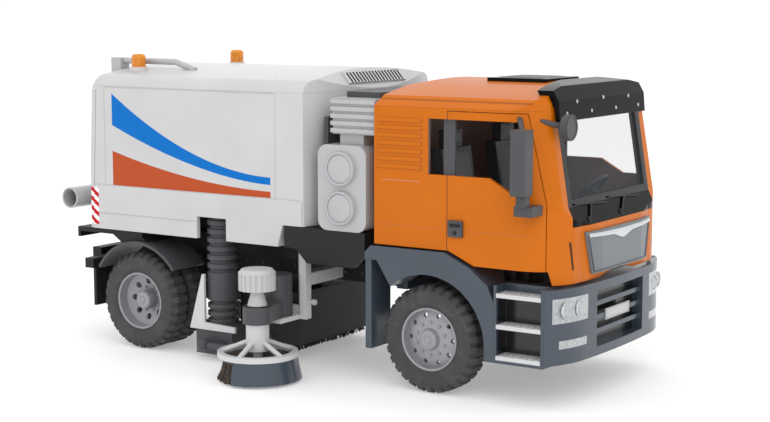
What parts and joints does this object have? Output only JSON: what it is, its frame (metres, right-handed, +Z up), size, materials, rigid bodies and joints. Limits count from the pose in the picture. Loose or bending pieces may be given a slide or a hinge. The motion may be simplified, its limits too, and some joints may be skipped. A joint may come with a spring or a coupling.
{
  "type": "toy street sweeper truck",
  "caption": "Toy street sweeper truck with a tilting cab, opening doors, a tipping container with a tail gate, a swing-out side brush and a roller brush.",
  "frame": {"origin": "on the ground under the middle of the truck's box", "axes": "+X the way it drives, +Y its left side, +Z up"},
  "size_m": [0.4045, 0.212, 0.205],
  "materials": {
    "tyre_rubber": "matte moulded rubber",
    "rim_silver": "satin silver plastic",
    "chassis_black": "satin black plastic",
    "slate_plastic": "satin slate plastic",
    "dark_grey": "satin dark grey plastic",
    "cab_orange": "glossy orange plastic",
    "container_white": "satin light grey plastic",
    "unit_grey": "glossy light grey plastic",
    "frame_silver": "satin silver plastic",
    "clear_screen": "clear polished plastic",
    "lamp_clear": "clear faceted lamp",
    "lamp_red": "red lamp",
    "beacon_amber": "amber lamp",
    "bristle_dark": "dark bristles",
    "knob_white": "white plastic"
  },
  "bodies": {
    "chassis": {"axles": "chassis_black", "chassis_frame": "chassis_black", "rear_beam": "chassis_black", "tail_lamps": "lamp_red", "tipping_frame": "chassis_black", "rear_fenders": "dark_grey", "engine_block": "dark_grey", "unit_base": "chassis_black", "side_tanks": "unit_grey", "filter_boxes": "unit_grey", "radiator": "dark_grey", "front_fenders": "slate_plastic", "step_boxes": "slate_plastic", "step_treads": "frame_silver", "front_lamps": "lamp_clear", "front_bumper": "slate_plastic", "roller_housing": "chassis_black", "suction_mouth": "dark_grey", "suction_hose": "dark_grey", "brush_frame": "frame_silver"},
    "front_wheel_right": {"front_tyre_right": "tyre_rubber", "front_rim_right": "rim_silver"},
    "front_wheel_left": {"front_tyre_left": "tyre_rubber", "front_rim_left": "rim_silver"},
    "rear_wheels_right": {"rear_tyre_right": "tyre_rubber", "rear_rim_right": "rim_silver"},
    "rear_wheels_left": {"rear_tyre_left": "tyre_rubber", "rear_rim_left": "rim_silver"},
    "cab": {"cab_body": "cab_orange", "cab_roof": "cab_orange", "cab_front": "cab_orange", "windscreen": "clear_screen", "screen_trim": "dark_grey", "grille": "slate_plastic", "roof_hatch": "dark_grey", "cab_interior": "dark_grey", "kerb_mirror": "dark_grey"},
    "door_right": {"door_right": "cab_orange", "door_fittings_right": "dark_grey"},
    "door_left": {"door_left": "cab_orange", "door_fittings_left": "dark_grey"},
    "container": {"container_walls": "container_white", "container_roof": "container_white", "front_vent": "dark_grey", "beacons": "beacon_amber", "roof_rail": "unit_grey"},
    "tail_gate": {"tail_gate": "container_white", "outlet_pipe": "unit_grey"},
    "brush_arm": {"brush_arm": "dark_grey", "brush_guard": "frame_silver", "guard_skirt": "slate_plastic"},
    "side_brush": {"brush_bristles": "bristle_dark", "brush_knob": "knob_white"},
    "roller": {"roller_brush": "bristle_dark"}
  },
  "joints": [
    {"name": "front_right_spin", "type": "hinge", "parent": "chassis", "child": "front_wheel_right", "pos_m": [0.10775, -0.0405, 0.034], "axis": [0, 1, 0], "continuous": true},
    {"name": "front_left_spin", "type": "hinge", "parent": "chassis", "child": "front_wheel_left", "pos_m": [0.10775, 0.0935, 0.034], "axis": [0, 1, 0], "continuous": true},
    {"name": "rear_right_spin", "type": "hinge", "parent": "chassis", "child": "rear_wheels_right", "pos_m": [-0.12975, -0.032, 0.034], "axis": [0, 1, 0], "continuous": true},
    {"name": "rear_left_spin", "type": "hinge", "parent": "chassis", "child": "rear_wheels_left", "pos_m": [-0.12975, 0.085, 0.034], "axis": [0, 1, 0], "continuous": true},
    {"name": "cab_tilt", "type": "hinge", "parent": "chassis", "child": "cab", "pos_m": [0.20025, 0.0265, 0.0746], "axis": [0, 1, 0], "range_deg": [0, 45]},
    {"name": "door_right_swing", "type": "hinge", "parent": "cab", "child": "door_right", "pos_m": [0.18625, -0.0505, 0.1295], "axis": [0, 0, 1], "range_deg": [0, 60]},
    {"name": "door_left_swing", "type": "hinge", "parent": "cab", "child": "door_left", "pos_m": [0.18625, 0.1035, 0.1295], "axis": [0, 0, -1], "range_deg": [0, 60]},
    {"name": "container_tip", "type": "hinge", "parent": "chassis", "child": "container", "pos_m": [-0.17925, 0.0265, 0.0826], "axis": [0, -1, 0], "range_deg": [0, 50]},
    {"name": "gate_open", "type": "hinge", "parent": "container", "child": "tail_gate", "pos_m": [-0.17004, 0.0265, 0.18], "axis": [0, 1, 0], "range_deg": [0, 80]},
    {"name": "brush_swing", "type": "hinge", "parent": "chassis", "child": "brush_arm", "pos_m": [-0.01175, -0.0475, 0.037], "axis": [0, 0, 1], "range_deg": [0, 75]},
    {"name": "brush_spin", "type": "hinge", "parent": "brush_arm", "child": "side_brush", "pos_m": [-0.00375, -0.0775, 0.037], "axis": [0, 0, 1], "continuous": true},
    {"name": "roller_spin", "type": "hinge", "parent": "chassis", "child": "roller", "pos_m": [-0.03325, 0.0265, 0.0158], "axis": [0, 1, 0], "continuous": true}
  ]
}
